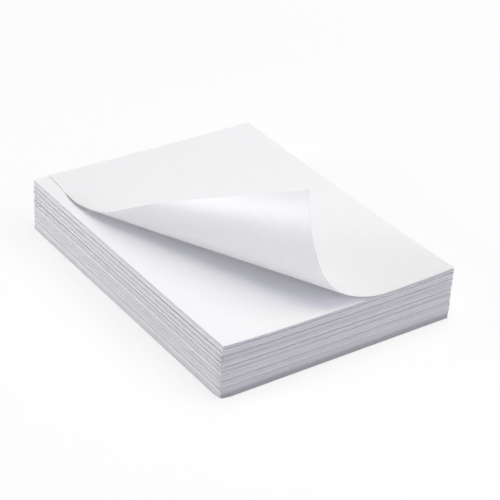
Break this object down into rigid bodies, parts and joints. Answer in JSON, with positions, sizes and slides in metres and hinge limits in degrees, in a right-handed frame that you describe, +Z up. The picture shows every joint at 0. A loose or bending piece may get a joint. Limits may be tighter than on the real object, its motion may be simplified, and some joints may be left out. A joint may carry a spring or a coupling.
{
  "type": "pack of inkjet photo paper",
  "caption": "Loose pile of blank white inkjet photo paper, with one corner of the top sheet curled up and back over itself.",
  "frame": {"origin": "under the middle of the pile's footprint, on the surface that it lies on", "axes": "+X across the sheets, +Y along the sheets and away from the curled corner, +Z up"},
  "size_m": [0.1538, 0.204, 0.0929],
  "materials": {
    "top_paper": "smooth satin photo paper",
    "paper": "smooth satin photo paper, cut edges"
  },
  "bodies": {
    "root": {"top_sheet": "top_paper", "second_sheet": "paper", "third_sheet": "paper", "fourth_sheet": "paper", "fifth_sheet": "paper", "bundle_01": "paper", "bundle_02": "paper", "bundle_03": "paper", "bundle_04": "paper", "bundle_05": "paper", "bundle_06": "paper", "bundle_07": "paper", "bundle_08": "paper", "bundle_09": "paper", "bundle_10": "paper", "bundle_11": "paper", "bundle_12": "paper", "bundle_13": "paper", "bundle_14": "paper", "bundle_15": "paper", "bundle_16": "paper", "bundle_17": "paper", "bundle_18": "paper", "bundle_19": "paper", "bundle_20": "paper", "bundle_21": "paper"}
  },
  "joints": []
}
